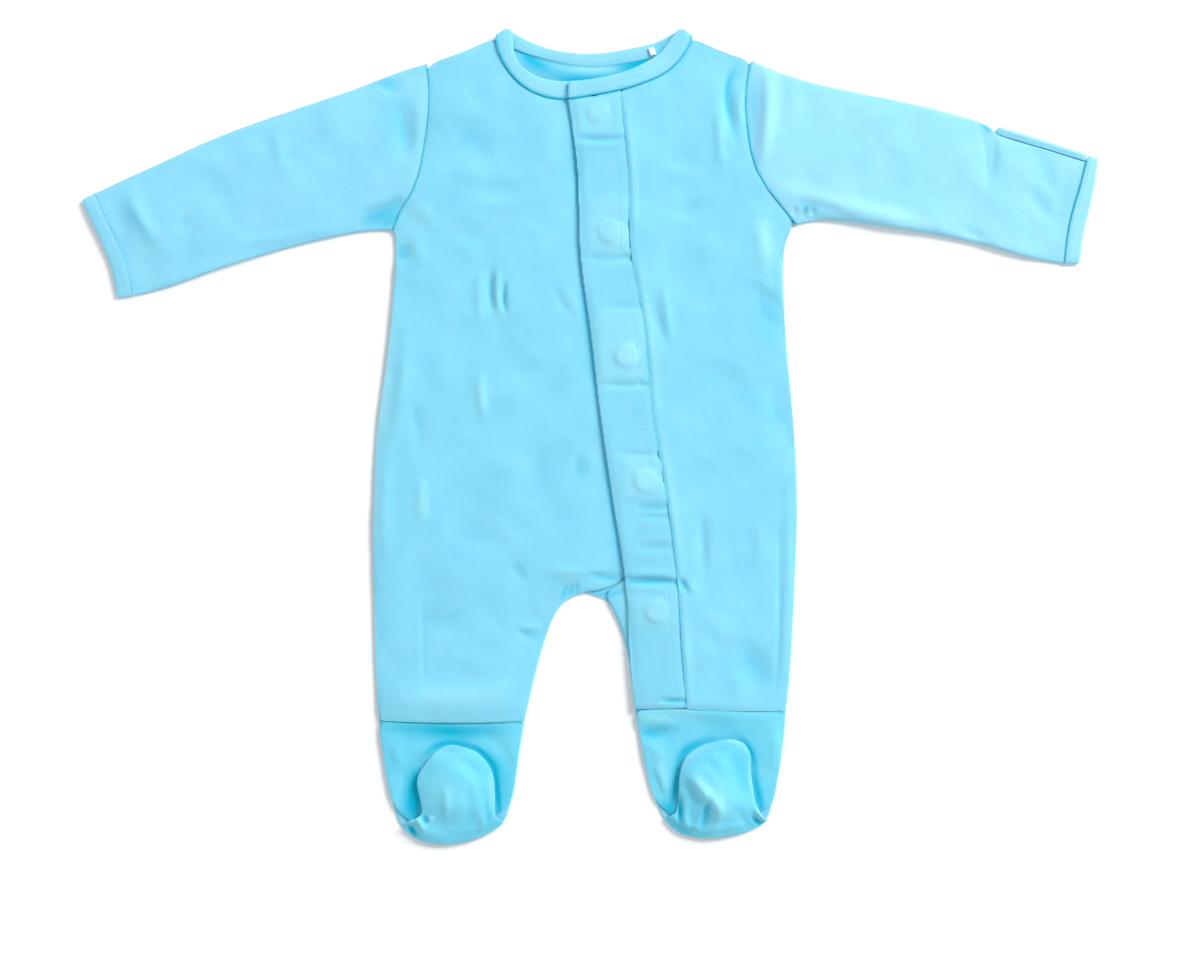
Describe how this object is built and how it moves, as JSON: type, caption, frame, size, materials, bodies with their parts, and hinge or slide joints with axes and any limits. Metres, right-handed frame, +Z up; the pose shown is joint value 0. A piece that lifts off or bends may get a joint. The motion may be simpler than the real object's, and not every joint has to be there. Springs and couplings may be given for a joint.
{
  "type": "baby pajamas",
  "caption": "Footed one-piece baby pajamas laid flat, with long sleeves, a bound neck, a magnetic front fly that runs down to one ankle, and soles turned up.",
  "frame": {"origin": "under the middle of the garment's box, on the surface that it lies on", "axes": "+X towards the wearer's left sleeve, +Y towards the neck, +Z up out of the front"},
  "size_m": [0.5586, 0.4484, 0.009],
  "materials": {
    "jersey": "matt cotton jersey, plain aqua blue",
    "binding": "matt folded jersey binding, plain aqua blue",
    "magnet": "plastic-cased disc, covered by the cloth",
    "ribbon": "plain pale woven ribbon"
  },
  "bodies": {
    "root": {"back_panel": "jersey", "front_right_panel": "jersey", "front_left_panel": "jersey", "underlap_placket": "jersey", "overlap_placket": "jersey", "sleeve_right": "jersey", "sleeve_left": "jersey", "mitten_flap": "jersey", "foot_upper_right": "jersey", "foot_upper_left": "jersey", "sole_right": "jersey", "sole_left": "jersey", "neck_binding_front_right": "binding", "neck_binding_front_left": "binding", "neck_binding_back": "binding", "cuff_binding_right": "binding", "cuff_binding_left": "binding", "magnet_1": "magnet", "magnet_2": "magnet", "magnet_3": "magnet", "magnet_4": "magnet", "magnet_5": "magnet", "label_tab": "ribbon"}
  },
  "joints": []
}
